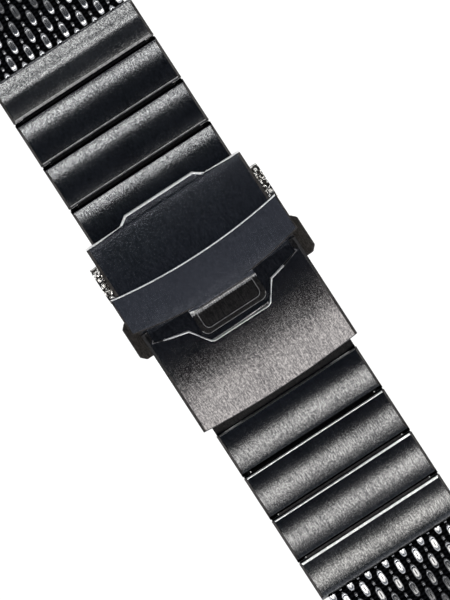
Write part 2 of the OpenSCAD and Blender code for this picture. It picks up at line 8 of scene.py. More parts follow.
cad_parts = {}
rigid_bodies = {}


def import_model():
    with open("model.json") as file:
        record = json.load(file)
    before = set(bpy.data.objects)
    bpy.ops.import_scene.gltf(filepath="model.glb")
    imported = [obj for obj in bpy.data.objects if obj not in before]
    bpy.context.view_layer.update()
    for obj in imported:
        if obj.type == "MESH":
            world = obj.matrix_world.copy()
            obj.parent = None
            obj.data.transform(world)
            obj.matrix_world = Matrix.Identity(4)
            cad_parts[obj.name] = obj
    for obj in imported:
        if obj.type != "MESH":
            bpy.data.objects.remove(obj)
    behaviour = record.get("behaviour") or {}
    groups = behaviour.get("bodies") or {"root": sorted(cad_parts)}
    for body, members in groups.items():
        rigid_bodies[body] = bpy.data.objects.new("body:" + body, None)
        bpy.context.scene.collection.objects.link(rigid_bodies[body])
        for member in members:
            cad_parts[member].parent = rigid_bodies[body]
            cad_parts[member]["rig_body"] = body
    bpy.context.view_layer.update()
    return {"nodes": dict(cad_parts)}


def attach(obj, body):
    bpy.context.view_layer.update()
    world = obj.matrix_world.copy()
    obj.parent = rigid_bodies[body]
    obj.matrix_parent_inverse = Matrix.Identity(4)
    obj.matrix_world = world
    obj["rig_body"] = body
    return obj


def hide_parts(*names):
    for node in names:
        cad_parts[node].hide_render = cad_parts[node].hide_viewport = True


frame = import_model()

# Measures that the part's source has too, in millimetres
MM = 0.001
BAND_W = 20.0
LINKS = 3
LINK_T = 3.0
LINK_PITCH = 6.1
SEAM = 0.12
TONGUE_W = 17.6
PIN_Z = 1.3
COVER_SIDE = 10.9
ARM_INSIDE = 11.0
LOCK_TOP = 7.17
MESH_T = 2.6
STRETCHES = 7
ROWS = 4
ROW_PITCH = 1.65
ROW_IN = {"upper": 1.05, "lower": 1.4}
CROWN_PITCH = 2.5
WIRE_R = 0.42
ROLL_FLAT = 0.08

# Places along the band, as X in the frame. The clasp's middle lies at X = SHIFT.
SHIFT = -1.6
UPPER_START = -13.25
LOWER_START = 12.9
MESH_EDGE = {"upper": -36.95, "lower": 36.6}
SIGN = {"upper": -1, "lower": 1}

# Shape of the cover's tab, whose X counts from the clasp's middle
TAB_ROLL_START = -11.8
TAB_ROLL_STEP = 0.35
TAB_ROLL_CUTS = 6
TAB_ROLL_R = 30.0
TAB_TOP_Z = 5.3

# Gap that is left between the lock's arms and the cover's sides
ARM_GAP = 0.02

# Shape of the links' tops, with angles in degrees. The upper end link bends down further, so its slope
# has a limit, and its low edge is softened.
LINK_TOP_Z = 2.3
FACET_W = 0.03
FACET_TILT = {1: 24.0, -1: 19.5}
TOP_TILT = 9.0
END_BEND = 5.97
END_APEX = 3.7
END_LIMIT = 12.2
END_EDGE_Z = 1.7
END_EDGE_W = 0.05
END_SOFTENING = 0.08

# Shoulders that close the seams beside the tongues, and how far the tongues' tops show, which are painted
# dark as shade
SHOULDER_Z = (1.0, 1.6)
SHOULDER_IN = 0.1
SHOULDER_GAP = 0.03
COVER_SHOULDER = 1.1
STRIP_GAP = 0.01
STRIP_HALF = 0.02
TONGUE_SHOWN = 0.45

# Knurled ridge at the root of the lock's thumb tab, which is higher and wider at one end
RIDGE_X = 0.62
RIDGE_HALF = 4.55
RIDGE_RISE = (0.07, 0.05, 0.7)
RIDGE_REACH = (0.1, 0.42, 0.9)
TOOTH_PITCH = 0.32
TOOTH_STEPS = 4
TOOTH_DEPTH = 0.08

# Shape of the woven wire: arched crowns with a flat worn on their tops, which a slit divides
CROWN_ARCH = 4.5
CROWN_FLAT = 0.11
CROWN_HALF = 0.42
CORNER_R = 0.36
DISH_R = 7.0
TOP_GAP = 0.01
SLIT_DEPTH = 0.05
SLIT_W = 0.06
SLIT_HALF = 0.5
SIDE_GAP = 0.05
ROLL_SHARE = 0.15

# Tilt of each row's crowns in degrees, how bright each row's crowns are painted, as painted light for how
# the light falls on that row, and the slope of their edge to the clasp, counted from the end link
ROW_TILT = {"upper": (-6.0, 3.0, 2.0, 1.0), "lower": (6.0, 6.0, 2.5, -2.5, -4.0, -3.0, 0.0)}
ROW_PAINTED_LIGHT = {"upper": (0.8, 0.42, 0.3, 0.24, 0.2), "lower": (1.0, 1.0, 0.45, 0.3, 0.24, 0.2)}
CLASP_FACET = {"upper": (0.2, 0.27, 0.14, 0.06, 0.0), "lower": (0.0,)}
FACET_START = 0.35

# Wires packed inside a row, and the small arches between its crowns as X and Z
PACKED_R = 0.33
PACKED_AT = (-0.55, 0.0, 0.55)
PACKED_STEPS = 48
PACKED_IN = 0.8
PACKED_WAVE = 0.06
BOW_R = 0.26
BOW = ((-0.34, 1.4), (-0.3, 1.75), (-0.16, 1.96), (0.0, 2.02), (0.16, 1.96), (0.3, 1.75), (0.34, 1.4))

# Photograph's view: straight down, with the band running from the upper left to the lower right
VIEW_RIGHT = Vector((0.5446, 0.8387, 0.0))
VIEW_UP = Vector((-0.8387, 0.5446, 0.0))
VIEW_CENTRE = Vector((-0.21, -0.189, 3.5))
VIEW_HEIGHT = 71.86
VIEW_DISTANCE = 450.0

# Stage: the point that the lamps look at and the floor's height, in millimetres
LAMP_AIM = Vector((0, 0, 4))
FLOOR_Z = -52.0
FLOOR_HALF = 6000.0
FLOOR_GLOW = 0.84


# Materials

def new_material(name, metallic=1.0):
    mat = bpy.data.materials.new(name)
    mat.use_nodes = True
    bsdf = mat.node_tree.nodes["Principled BSDF"]
    bsdf.inputs["Metallic"].default_value = metallic
    return mat, mat.node_tree, bsdf


def noise(tree, along, across, detail=3.0, rough=0.6):
    """Noise in the piece's own space, with about this many spots per mm along and across the band."""
    coord = tree.nodes.new("ShaderNodeTexCoord")
    mapping = tree.nodes.new("ShaderNodeMapping")
    mapping.inputs["Scale"].default_value = (along / MM, across / MM, across / MM)
    tree.links.new(coord.outputs["Object"], mapping.inputs["Vector"])
    node = tree.nodes.new("ShaderNodeTexNoise")
    node.inputs["Scale"].default_value = 1.0
    node.inputs["Detail"].default_value = detail
    node.inputs["Roughness"].default_value = rough
    tree.links.new(mapping.outputs["Vector"], node.inputs["Vector"])
    return node.outputs["Fac"]


def remap(tree, value, lo, hi, out_lo, out_hi):
    node = tree.nodes.new("ShaderNodeMapRange")
    tree.links.new(value, node.inputs["Value"])
    for key, number in (("From Min", lo), ("From Max", hi), ("To Min", out_lo), ("To Max", out_hi)):
        node.inputs[key].default_value = number
    return node.outputs["Result"]


def tint(tree, bsdf, factor, dark, light):
    """Gives the surface a colour between dark and light."""
    node = tree.nodes.new("ShaderNodeMix")
    node.data_type = "RGBA"
    tree.links.new(factor, node.inputs["Factor"])
    colours = [s for s in node.inputs if s.type == "RGBA"]
    colours[0].default_value = (*dark, 1.0)
    colours[1].default_value = (*light, 1.0)
    mixed = next(s for s in node.outputs if s.type == "RGBA")
    tree.links.new(mixed, bsdf.inputs["Base Color"])


def combine(tree, operation, a, b):
    """A value combined with another one, or with a fixed number."""
    node = tree.nodes.new("ShaderNodeMath")
    node.operation = operation
    tree.links.new(a, node.inputs[0])
    if isinstance(b, float):
        node.inputs[1].default_value = b
    else:
        tree.links.new(b, node.inputs[1])
    return node.outputs[0]


def add(tree, a, b):
    return combine(tree, "ADD", a, b)


def multiply(tree, a, b):
    return combine(tree, "MULTIPLY", a, b)


def bump(tree, bsdf, height):
    """Bends the normals by a height in millimetres."""
    node = tree.nodes.new("ShaderNodeBump")
    node.inputs["Distance"].default_value = MM
    node.inputs["Strength"].default_value = 1.0
    tree.links.new(height, node.inputs["Height"])
    tree.links.new(node.outputs["Normal"], bsdf.inputs["Normal"])


def coated(name, dark, light, rough, grain=0.01, speck_share=0.9):
    """Coated steel: fine streaks along the band, a speckled grain and slow mottling."""
    patch_share = 0.25
    half_contrast = 0.17
    rough_spread = 0.02
    streak_height = 0.002
    mat, tree, bsdf = new_material(name)
    streaks = noise(tree, 1.2, 9.0, 4.0, 0.65)
    specks = noise(tree, 4.4, 4.4, 3.0, 0.75)
    patches = noise(tree, 0.22, 0.22, 2.0, 0.5)
    fine = add(tree, streaks, multiply(tree, specks, speck_share))
    mottled = add(tree, fine, multiply(tree, patches, patch_share))
    middle = 0.5 * (1.0 + patch_share + speck_share)
    spread = remap(tree, mottled, middle - half_contrast, middle + half_contrast, 0.0, 1.0)
    tint(tree, bsdf, spread, dark, light)
    dull = remap(tree, streaks, 0.3, 0.7, rough - rough_spread, rough + rough_spread)
    tree.links.new(dull, bsdf.inputs["Roughness"])
    bump(tree, bsdf, add(tree, multiply(tree, streaks, streak_height), multiply(tree, specks, grain)))
    return mat


def painted_edge(name, dark, light, rough):
    """Colour for edges, with short nicks, which paints a highlight with light colours and shade with dark
    ones.
    """
    mat, tree, bsdf = new_material(name)
    nicks = noise(tree, 2.2, 2.2, 4.0, 0.7)
    tint(tree, bsdf, remap(tree, nicks, 0.35, 0.6, 0.0, 1.0), dark, light)
    tree.links.new(remap(tree, nicks, 0.3, 0.7, rough + 0.08, rough - 0.05), bsdf.inputs["Roughness"])
    bump(tree, bsdf, multiply(tree, noise(tree, 5.0, 5.0, 2.0), 0.004))
    return mat


def glitter(name):
    """Small pads: bumps give them many small faces, and bright specks in the colour are painted glints."""
    mat, tree, bsdf = new_material(name)
    glint_specks = noise(tree, 2.4, 2.4, 2.0)
    tint(tree, bsdf, remap(tree, glint_specks, 0.48, 0.58, 0.0, 1.0), (0.02, 0.018, 0.016), (0.9, 0.88, 0.84))
    bsdf.inputs["Roughness"].default_value = 0.15
    bump(tree, bsdf, multiply(tree, noise(tree, 2.6, 2.6, 2.0), 0.2))
    return mat


def wire_steel(name):
    """Coated wire: the crowns are bright, partly from wearing and partly as painted highlight, and the
    depth of the weave is black as painted shade.
    """
    mat, tree, bsdf = new_material(name)
    wear_and_painted_light = tree.nodes.new("ShaderNodeAttribute")
    wear_and_painted_light.attribute_name = "wear_and_painted_light"
    spots = noise(tree, 2.4, 2.4, 4.0, 0.65)
    brightened = multiply(tree, wear_and_painted_light.outputs["Fac"], remap(tree, spots, 0.25, 0.6, 0.7, 1.0))
    tint(tree, bsdf, brightened, (0.006, 0.0065, 0.008), (0.8, 0.81, 0.83))
    tree.links.new(remap(tree, brightened, 0.0, 0.3, 0.5, 0.2), bsdf.inputs["Roughness"])
    bump(tree, bsdf, multiply(tree, noise(tree, 1.2, 7.0), 0.005))
    return mat


def pale_floor():
    """Plain pale floor: white for the camera and in reflections, with the object's shadow."""
    mat, tree, bsdf = new_material("pale_floor", 0.0)
    bsdf.inputs["Base Color"].default_value = (0.34, 0.34, 0.335, 1.0)
    bsdf.inputs["Roughness"].default_value = 0.9
    bsdf.inputs["Specular IOR Level"].default_value = 0.0
    path = tree.nodes.new("ShaderNodeLightPath")
    seen = add(tree, path.outputs["Is Camera Ray"], path.outputs["Is Glossy Ray"])
    seen = add(tree, seen, path.outputs["Is Transmission Ray"])
    bsdf.inputs["Emission Color"].default_value = (1.0, 1.0, 1.0, 1.0)
    tree.links.new(multiply(tree, seen, FLOOR_GLOW), bsdf.inputs["Emission Strength"])
    return mat


# Each material's dark and light colour, its roughness and the height of its grain in millimetres
MATERIALS = {
    "link_steel": coated(
        "link_coating", (0.06, 0.062, 0.066), (0.2, 0.203, 0.208), 0.15, grain=0.013),
    "cover_steel": coated(
        "cover_coating", (0.05, 0.049, 0.053), (0.2, 0.195, 0.199), 0.125, grain=0.008),
    "lock_steel": coated(
        "lock_coating", (0.16, 0.17, 0.2), (0.25, 0.264, 0.31), 0.24, grain=0.015, speck_share=0.5),
    "button_steel": coated(
        "button_coating", (0.035, 0.032, 0.03), (0.08, 0.073, 0.068), 0.32, grain=0.02),
    "blade_steel": coated("blade_coating", (0.09, 0.092, 0.097), (0.14, 0.142, 0.148), 0.24),
    "mesh_wire": wire_steel("mesh_wire_wear_and_painted_light"),
    "pin_steel": coated("pin_bare", (0.42, 0.42, 0.41), (0.56, 0.56, 0.55), 0.24),
    "spring_steel": coated("spring_bare", (0.36, 0.36, 0.36), (0.5, 0.5, 0.5), 0.24),
}
# Painted highlight for the edges that face a lamp
PAINTED_HIGHLIGHT = painted_edge("painted_highlight_edge", (0.7, 0.7, 0.7), (0.92, 0.92, 0.91), 0.3)
# Painted shade for the edges that face away from the lamps
PAINTED_SHADE_EDGE = painted_edge("painted_shade_edge", (0.022, 0.02, 0.019), (0.06, 0.056, 0.054), 0.34)
# Dimmer painted highlight for rims, the facet on each upper link and the thumb ridge
DIM_HIGHLIGHT_PAINT = painted_edge("dim_painted_highlight", (0.16, 0.16, 0.165), (0.42, 0.42, 0.42), 0.3)
PAD = glitter("arm_pad")
# Painted shade for dishes, gaps and faces that lie in shadow
PAINTED_SHADE = coated("painted_shade_dish", (0.016, 0.016, 0.017), (0.04, 0.039, 0.04), 0.3)
# Lighter copy of the cover's coating, as painted light for its tab half
TAB_PAINTED_LIGHTER = coated("cover_tab_painted_lighter", (0.085, 0.089, 0.1), (0.19, 0.198, 0.22), 0.18, grain=0.016)
# Lighter copy of the links' coating, as painted light for the end links
END_PAINTED_LIGHTER = coated("end_link_painted_lighter", (0.07, 0.072, 0.075), (0.25, 0.253, 0.256), 0.2, grain=0.015)

# Order of the materials on a piece. BASE_FACE is the material of the piece's own slot.
FACE_MATERIALS = [PAINTED_HIGHLIGHT, PAINTED_SHADE_EDGE, PAD, PAINTED_SHADE, DIM_HIGHLIGHT_PAINT, TAB_PAINTED_LIGHTER, END_PAINTED_LIGHTER]
BASE_FACE, HIGHLIGHT_FACE, SHADE_EDGE_FACE, PAD_FACE, SHADE_FACE, DIM_HIGHLIGHT_FACE, TAB_LIGHTER_FACE, END_LIGHTER_FACE = range(8)

# Degrees between two faces up to which they are joined as one flat face, from which their edge may be
# rounded, and from which it is shaded sharp
FLAT_TO = 0.3
ROUND_FROM = 28
SHARP_FROM = 34
WIRE_SHARP_FROM = 50

# Distances in millimetres within which points are joined, or count as lying on a plane
JOIN_WITHIN = 0.002
ON_PLANE = 0.001


# Pieces that stand for CAD nodes

def add_object(name, data):
    obj = bpy.data.objects.new(name, data)
    bpy.context.scene.collection.objects.link(obj)
    return obj


def whole(bm):
    return bm.verts[:] + bm.edges[:] + bm.faces[:]


def clean_mesh(node):
    """The CAD node's mesh, with the triangles of each flat face joined."""
    bm = bmesh.new()
    bm.from_mesh(frame["nodes"][node].data)
    bmesh.ops.remove_doubles(bm, verts=bm.verts, dist=JOIN_WITHIN * MM)
    bmesh.ops.dissolve_limit(bm, angle_limit=math.radians(FLAT_TO), verts=bm.verts, edges=bm.edges)
    return bm


def split_across(bm, x):
    """Divides the faces along a plane across the band, at this X in metres."""
    bmesh.ops.bisect_plane(bm, geom=whole(bm), dist=ON_PLANE * MM, plane_co=(x, 0, 0),
                           plane_no=(1, 0, 0))


def add_piece(name, mesh, body, nodes, mats):
    obj = add_object(name, mesh)
    mesh.materials.clear()
    for mat in mats:
        mesh.materials.append(mat)
    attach(obj, body)
    if nodes:
        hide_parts(*nodes)
    return obj


def mark_edges(bm, round_width):
    """Gives each edge its share of the widest rounding, and returns the widest one."""
    weight = bm.edges.layers.float.new("bevel_weight_edge")
    widths = {}
    for edge in bm.edges:
        if len(edge.link_faces) == 2 and edge.calc_face_angle(0.0) > math.radians(ROUND_FROM):
            width = round_width(edge)
            if width:
                widths[edge] = width
    widest = max(widths.values())
    for edge, width in widths.items():
        edge[weight] = width / widest
    return widest


def round_edges(bm, widest, segments):
    """A mesh with the marked edges rounded."""
    mesh = bpy.data.meshes.new("before_rounding")
    bm.to_mesh(mesh)
    bm.free()
    obj = add_object("before_rounding", mesh)
    bevel = obj.modifiers.new("edge", "BEVEL")
    bevel.width = widest * MM
    bevel.limit_method = "WEIGHT"
    bevel.segments = segments
    bevel.use_clamp_overlap = False
    bevel.loop_slide = False
    bevel.miter_outer = "MITER_SHARP"
    done = bpy.data.meshes.new_from_object(obj.evaluated_get(bpy.context.evaluated_depsgraph_get()))
    bpy.data.objects.remove(obj)
    bpy.data.meshes.remove(mesh)
    return done


def rounded_piece(bm, node, name, slot, round_width, face_kind, segments=3, flat_edges=False):
    """A piece from a CAD node's mesh, with rounded edges and several materials.

    round_width(edge) gives an edge's rounding in millimetres, and face_kind(middle, normal) a face's
    material, with X from the clasp's middle."""
    widest = mark_edges(bm, round_width)
    mesh = round_edges(bm, widest, segments)
    mesh.name = name
    mats = [MATERIALS[slot], *FACE_MATERIALS]
    piece = add_piece(name, mesh, frame["nodes"][node]["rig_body"], [node], mats)
    for poly in mesh.polygons:
        c = poly.center / MM
        poly.material_index = face_kind(Vector((c.x - SHIFT, c.y, c.z)), poly.normal)
        poly.use_smooth = not (flat_edges and poly.material_index in (HIGHLIGHT_FACE, DIM_HIGHLIGHT_FACE))
    mesh.set_sharp_from_angle(angle=math.radians(SHARP_FROM))
    normals = piece.modifiers.new("normals", "WEIGHTED_NORMAL")
    normals.keep_sharp = True
    return piece


def convex(edge):
    return edge.calc_face_angle_signed(0.0) > 0


def middle_mm(edge):
    """The edge's middle in millimetres, with X from the clasp's middle."""
    point = (edge.verts[0].co + edge.verts[1].co) / 2 / MM
    return point.x - SHIFT, point.y, point.z


def direction(edge):
    return (edge.verts[0].co - edge.verts[1].co).normalized()


def faces_towards(edge, sign):
    """Whether one of the edge's faces is upright and looks towards this side along the band."""
    return any(f.normal.x * sign > 0.35 and abs(f.normal.z) < 0.3 for f in edge.link_faces)


def beside(c, zone):
    """Whether a point is in a zone on either side of the band, given as X from, X to and how far out."""
    from_x, to_x, from_y = zone
    return from_x < c.x < to_x and abs(c.y) > from_y


def add_block(bm, low, high):
    """A closed block between two corners, in millimetres."""
    size = Vector(high) - Vector(low)
    place = Matrix.Translation((Vector(low) + size / 2) * MM)
    bmesh.ops.create_cube(bm, size=1.0, matrix=place @ Matrix.Diagonal((*(size * MM), 1.0)))


def roll_tab(bm):
    """Rolls the cover's tab down a little towards its edge."""
    for k in range(TAB_ROLL_CUTS):
        split_across(bm, (TAB_ROLL_START - k * TAB_ROLL_STEP + SHIFT) * MM)
    for vert in bm.verts:
        over = TAB_ROLL_START - (vert.co.x / MM - SHIFT)
        if over > 0 and vert.co.z > TAB_TOP_Z * MM:
            vert.co.z -= over * over / TAB_ROLL_R * MM


def dress_cover():
    """The cover, with its edges rounded for the lamps, a painted highlight on the faces that slope towards
    the upper end, painted shade on its side edges and in the dishes at its buttons, and its tab half
    painted lighter.
    """
    round_from_z = 4.5
    notch_half = 7.2
    notch_round = 0.36
    plate_round = 0.26
    tab_round = 0.32
    far_round = 0.12
    dish = (-5, 4.8, 8.8)
    rib = (-0.9, 0.6, 9.8)
    bm = clean_mesh("cover")
    roll_tab(bm)

    def width(edge):
        x, y, z = middle_mm(edge)
        along = abs(direction(edge).x) > 0.95
        upright = abs(direction(edge).z) > 0.9
        if not convex(edge) or z < round_from_z or along or upright:
            return 0.0
        if not faces_towards(edge, -1):
            return far_round
        if x > 0:
            return notch_round if abs(y) < notch_half else plate_round
        return tab_round

    def kind(c, n):
        # Painted shade in the dishes at the buttons and beside the rib
        in_dish = beside(c, dish) and n.z < 0.93
        if in_dish or beside(c, rib):
            return SHADE_FACE
        # Painted highlight on faces that slope towards the upper end, painted shade on the side edges
        if 0.2 < n.z < 0.99 and n.x < -0.2 and abs(n.y) < 0.9:
            return HIGHLIGHT_FACE
        if abs(n.y) > 0.5 and n.z > 0.3:
            return SHADE_EDGE_FACE
        # The tab half gets the lighter copy of the coating, as painted light
        return TAB_LIGHTER_FACE if c.x < 0 else BASE_FACE

    return rounded_piece(bm, "cover", "clasp_cover", "cover_steel", width, kind, 4)


def close_arms(bm):
    """Brings the inner sides of the lock's arms close to the cover's sides."""
    for vert in bm.verts:
        y = vert.co.y / MM
        if ARM_INSIDE - 0.01 < abs(y) < ARM_INSIDE + 0.05:
            vert.co.y = math.copysign(COVER_SIDE + ARM_GAP, y) * MM


def dress_lock():
    """The flip lock: a strap with a painted highlight on its edge towards the upper end and painted shade
    on its other edges, pads with painted glints, and a thumb tab in painted shade with a painted highlight
    on its rim.
    """
    strap_z = 6.3
    strap_half = 11.2
    strap_edge_x = -4
    near_round = 0.18
    far_round = 0.14
    tab_x = (0.6, 3.3)
    tab_half = 4.2
    tab_z = 6.7
    tab_round = 0.22
    painted_shade_x = 0.75
    painted_shade_half = 4.45
    rim_x = 3
    rim_y = 3.6
    rim_z = 6.8
    pad_x = -6.0
    pad_y = 10.5
    bm = clean_mesh("flip_lock")
    close_arms(bm)

    def width(edge):
        x, y, z = middle_mm(edge)
        if not convex(edge):
            return 0.0
        if z > tab_z and abs(y) < tab_half and tab_x[0] < x < tab_x[1]:
            return tab_round
        if z > strap_z and abs(y) < strap_half and abs(direction(edge).x) < 0.95:
            return near_round if faces_towards(edge, -1) else far_round
        return 0.0

    def kind(c, n):
        if c.x < pad_x and n.z > 0.15 and abs(c.y) > pad_y and c.z < strap_z:
            return PAD_FACE
        # The thumb tab is painted dark as shade, with a painted highlight on the sloping faces of its rim
        if c.x > painted_shade_x and abs(c.y) < painted_shade_half:
            on_rim = c.z > rim_z and (c.x > rim_x or abs(c.y) > rim_y)
            return DIM_HIGHLIGHT_FACE if on_rim and 0.4 < n.z < 0.95 else SHADE_FACE
        # Painted highlight on the strap's edge towards the upper end, painted shade on its other edges
        if n.z > 0.2 and n.x < -0.2 and c.x < strap_edge_x:
            return HIGHLIGHT_FACE
        if n.z > 0.2 and (n.x > 0.2 or abs(n.y) > 0.5):
            return SHADE_EDGE_FACE
        return BASE_FACE

    return rounded_piece(bm, "flip_lock", "flip_lock_dressed", "lock_steel", width, kind)


def lean_edge(bm, clasp_side):
    """Gives the link's top a narrow flat facet along its edge towards the clasp.

    Returns the X where the facet starts, counted from the clasp's middle."""
    top_z = LINK_TOP_Z * MM
    touching = 0.01 * MM
    beyond = 0.03 * MM
    top = {v for f in bm.faces if f.normal.z > 0.9 for v in f.verts if v.co.z > top_z}
    edge_x = max(v.co.x * clasp_side for v in top)
    cut_x = edge_x - FACET_W * MM
    split_across(bm, cut_x * clasp_side)
    slope = math.tan(math.radians(FACET_TILT[clasp_side]))
    drop = FACET_W * (slope - math.tan(math.radians(TOP_TILT)))
    edge_z = max(v.co.z for v in top if abs(v.co.x * clasp_side - edge_x) < touching)
    for vert in bm.verts:
        over = vert.co.x * clasp_side - edge_x
        if vert.co.z > top_z and over > beyond:
            vert.co.z = edge_z - drop * MM - slope * over
        elif vert.co.z > top_z and over > -touching:
            vert.co.z -= drop * MM
    return cut_x * clasp_side / MM - SHIFT


def ease_top(bm, apex):
    """Keeps the end link's slope away from the clasp within a limit, by lifting its low edge."""
    radius = 1 / math.radians(END_BEND)
    far = radius * math.tan(math.radians(END_LIMIT))
    ends = apex - min(v.co.x for v in bm.verts if v.co.z > END_EDGE_Z * MM) / MM + SHIFT
    for vert in bm.verts:
        x = apex - (vert.co.x / MM - SHIFT)
        if x > far and vert.co.z > END_EDGE_Z * MM:
            line = LINK_T - far * far / (2 * radius) - (x - far) * far / radius
            vert.co.z = (line if x < ends - END_EDGE_W else line - END_SOFTENING) * MM


def add_shoulders(bm, start, reach):
    """Blocks beside the link's tongue that close the seam, and thin strips that close it further.

    The strips lie at the pin's height, where the gap changes least as the next link turns."""
    low, high = SHOULDER_Z
    root = start + SEAM + SHOULDER_IN
    strip_tip = start - SEAM + STRIP_GAP
    for side in (-1, 1):
        y0, y1 = sorted((side * (TONGUE_W / 2 - SHOULDER_IN), side * (BAND_W / 2 - SHOULDER_IN)))
        add_block(bm, (start - reach, y0, low), (root, y1, high))
        if reach < SEAM:
            add_block(bm, (strip_tip, y0, PIN_Z - STRIP_HALF), (start, y1, PIN_Z + STRIP_HALF))


def dress_link(node, clasp_side, start, reach):
    """A link with a painted highlight on its facet towards the clasp, and painted shade on its sides, on
    its faces towards the clasp and on its tongue's top.

    start is the X of its edge towards the band's upper end, where most links have their tongue, and
    reach the length of the shoulders beside the tongue, or 0."""
    side_y = 9.68
    round_from_y = 9.5
    round_from_z = 2.0
    side_round = 0.12
    bm = clean_mesh(node)
    cut = lean_edge(bm, clasp_side)
    if node == "upper_end_link":
        ease_top(bm, start - SHIFT + END_APEX)
    if reach:
        add_shoulders(bm, start, reach)

    def width(edge):
        _, y, z = middle_mm(edge)
        along = abs(direction(edge).x) > 0.85
        upper_side = abs(y) > round_from_y and z >= round_from_z
        return side_round if convex(edge) and along and upper_side else 0.0

    def kind(c, n):
        # Painted shade on the link's sides
        if abs(c.y) > side_y:
            return SHADE_EDGE_FACE
        # Painted highlight on the facet towards the clasp, dimmer on the upper links
        if (c.x - cut) * clasp_side > 0 and n.z > 0.85 and c.z > LINK_TOP_Z:
            return HIGHLIGHT_FACE if clasp_side < 0 else DIM_HIGHLIGHT_FACE
        # Painted shade on the tongue's top in the seam and on faces towards the clasp
        on_tongue = reach and c.x < start - SHIFT + TONGUE_SHOWN and c.z < LINK_TOP_Z
        if on_tongue or n.x * clasp_side > 0.5:
            return SHADE_FACE
        # The end links get the lighter copy of the coating, as painted light
        return END_LIGHTER_FACE if "end" in node else BASE_FACE

    return rounded_piece(bm, node, node + "_dressed", "link_steel", width, kind, flat_edges=True)


def dress_links():
    reach = SEAM - SHOULDER_GAP
    for i in range(1, LINKS + 1):
        dress_link(f"upper_link_{i}", 1, UPPER_START - i * LINK_PITCH, reach)
        lower_reach = reach if i > 1 else COVER_SHOULDER
        dress_link(f"lower_link_{i}", -1, LOWER_START + (i - 1) * LINK_PITCH, lower_reach)
    dress_link("upper_end_link", 1, MESH_EDGE["upper"], 0)
    dress_link("lower_end_link", -1, LOWER_START + LINKS * LINK_PITCH, reach)


def dress_buttons():
    """The push buttons, with a rounded edge around their caps in painted shade."""
    cap_y = 11.0
    cap_round = 0.14

    def width(edge):
        _, y, _ = middle_mm(edge)
        return cap_round if convex(edge) and abs(y) > cap_y else 0.0

    def kind(c, n):
        return SHADE_EDGE_FACE if abs(c.y) > cap_y and 0.2 < n.z < 0.9 else BASE_FACE

    for side in ("left", "right"):
        node = f"button_{side}"
        rounded_piece(clean_mesh(node), node, node + "_dressed", "button_steel", width, kind, 2)


def ridge_section(y, step):
    """The ridge's outline at this Y, as X and Z from its root."""
    low, more, run = RIDGE_RISE
    rise = low + more * math.exp(-((y + RIDGE_HALF) / run) ** 2)
    short, longer, fade = RIDGE_REACH
    reach = short + longer * math.exp(-((y + RIDGE_HALF) / fade) ** 2)
    tooth = TOOTH_DEPTH * math.cos(2 * math.pi * step / TOOTH_STEPS)
    return ((-reach, -0.12), (-0.02, rise), (0.08, rise + 0.01), (0.2, rise - 0.03 + tooth / 2),
            (0.38 + tooth, -0.05), (0.38, -0.2))


def thumb_ridge():
    """The knurled ridge along the root of the lock's thumb tab, highest at one of its ends. It is coloured
    as a dimmer painted highlight, with a full painted highlight on the faces at its high end.
    """
    painted_highlight_end = 1.0
    steps = int(2 * RIDGE_HALF / TOOTH_PITCH) * TOOTH_STEPS
    verts, faces = [], []
    for k in range(steps + 1):
        y = -RIDGE_HALF + 2 * RIDGE_HALF * k / steps
        section = ridge_section(y, k)
        ring = len(section)
        for x, z in section:
            verts.append(Vector((SHIFT + RIDGE_X + x, y, LOCK_TOP + z)) * MM)
    for k in range(steps):
        for j in range(ring):
            a, b = k * ring + j, k * ring + (j + 1) % ring
            faces.append((a, b, b + ring, a + ring))
    faces.append(tuple(reversed(range(ring))))
    faces.append(tuple(steps * ring + j for j in range(ring)))
    mesh = bpy.data.meshes.new("thumb_ridge")
    mesh.from_pydata(verts, [], faces)
    bm = bmesh.new()
    bm.from_mesh(mesh)
    bmesh.ops.recalc_face_normals(bm, faces=bm.faces)
    bm.to_mesh(mesh)
    bm.free()
    mesh.set_sharp_from_angle(angle=math.radians(SHARP_FROM))
    for poly in mesh.polygons:
        poly.use_smooth = True
        # Painted highlight on the faces at the ridge's high end, except those that face the thumb tab
        brightened = poly.center.y / MM < -RIDGE_HALF + painted_highlight_end and poly.normal.x < 0.3
        poly.material_index = 1 if brightened else 0
    return add_piece("thumb_ridge", mesh, "flip_lock", [], [DIM_HIGHLIGHT_PAINT, PAINTED_HIGHLIGHT])


# Woven mesh

def crown_z(x):
    """Height of the wire's middle above the mesh's underside, along a crown."""
    return MESH_T - WIRE_R + CROWN_FLAT - x * x / (2 * CROWN_ARCH)


def turn_of_wire():
    """One turn of a flattened spiral: X, Z and the share of the step across, in millimetres."""
    side = CROWN_HALF + CORNER_R
    high = crown_z(CROWN_HALF)
    low = WIRE_R - ROLL_FLAT
    points = [(x, crown_z(x), 0.0) for x in [CROWN_HALF * k / 3 for k in range(-3, 4)]]

    def arc(cx, cz, start, end, steps, share0, share1):
        for k in range(1, steps + 1):
            a = math.radians(start + (end - start) * k / steps)
            points.append((cx + CORNER_R * math.cos(a), cz + CORNER_R * math.sin(a),
                           share0 + (share1 - share0) * k / steps))

    arc(CROWN_HALF, high - CORNER_R, 90, 0, 4, 0.0, 0.0)
    points.append((side, (high + low) / 2, 0.0))
    arc(CROWN_HALF, low + CORNER_R, 0, -90, 3, 0.0, ROLL_SHARE)
    for k in (1, 2, 3):
        points.append((CROWN_HALF * (1 - k / 2), low, ROLL_SHARE + (1 - 2 * ROLL_SHARE) * k / 4))
    arc(-CROWN_HALF, low + CORNER_R, -90, -180, 3, 1.0 - ROLL_SHARE, 1.0)
    points.append((-side, (high + low) / 2, 1.0))
    arc(-CROWN_HALF, high - CORNER_R, 180, 112, 3, 1.0, 1.0)
    return points


